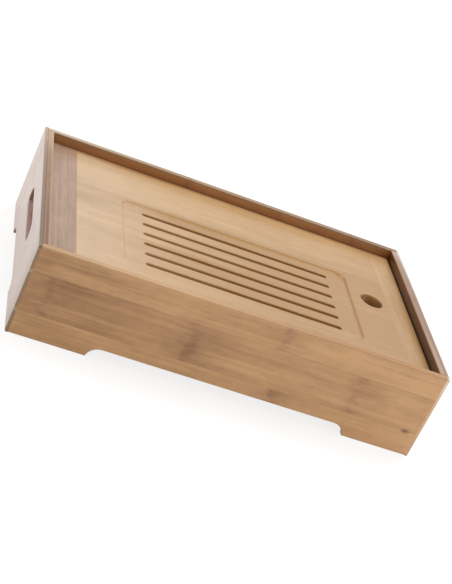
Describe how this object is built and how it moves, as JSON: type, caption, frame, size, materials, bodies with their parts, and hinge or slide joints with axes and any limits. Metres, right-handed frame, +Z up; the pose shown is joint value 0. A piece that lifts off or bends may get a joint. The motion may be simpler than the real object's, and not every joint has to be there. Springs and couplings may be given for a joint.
{
  "type": "gongfu tea tray",
  "caption": "Low rectangular bamboo tea tray on cut-out feet, with a slotted, recessed lift-out drain lid, hand slots in the ends and a loose water tray inside.",
  "frame": {"origin": "centre of the footprint on the table, at the bottom of the feet", "axes": "+X along the tray to the end with the finger hole, +Y to the back, +Z up out of the lid"},
  "size_m": [0.28, 0.18, 0.0635],
  "materials": {
    "bamboo_case": "satin varnished bamboo",
    "bamboo_inner": "plain sanded bamboo",
    "bamboo_lid": "satin varnished bamboo",
    "bamboo_dark": "darker bamboo with grey-brown streaks, satin varnished",
    "tray_plastic": "fine matte"
  },
  "bodies": {
    "case": {"front_wall_lower_lath": "bamboo_case", "front_wall_middle_lath": "bamboo_case", "front_wall_upper_lath": "bamboo_case", "back_wall_lower_lath": "bamboo_case", "back_wall_middle_lath": "bamboo_case", "back_wall_upper_lath": "bamboo_case", "left_end_outer_ply": "bamboo_case", "left_end_inner_ply": "bamboo_case", "right_end_outer_ply": "bamboo_case", "right_end_inner_ply": "bamboo_case", "base_panel": "bamboo_inner", "front_ledge": "bamboo_inner", "back_ledge": "bamboo_inner", "left_ledge": "bamboo_inner", "right_ledge": "bamboo_inner", "front_left_corner_post": "bamboo_inner", "front_right_corner_post": "bamboo_inner", "back_left_corner_post": "bamboo_inner", "back_right_corner_post": "bamboo_inner", "left_stop_strip": "bamboo_inner", "right_stop_strip": "bamboo_inner"},
    "lid": {"lid_board": "bamboo_lid", "lid_left_cleat": "bamboo_dark", "lid_right_cleat": "bamboo_lid"},
    "water_tray": {"water_tray": "tray_plastic"}
  },
  "joints": [
    {"name": "lid_lift", "type": "slide", "parent": "case", "child": "lid", "axis": [0, 0, 1], "range_m": [0, 0.1]},
    {"name": "water_tray_lift", "type": "slide", "parent": "case", "child": "water_tray", "axis": [0, 0, 1], "range_m": [0, 0.05]}
  ],
  "couplings": [
    {"joint": "water_tray_lift", "follows": "lid_lift", "ratio": 0.5}
  ]
}
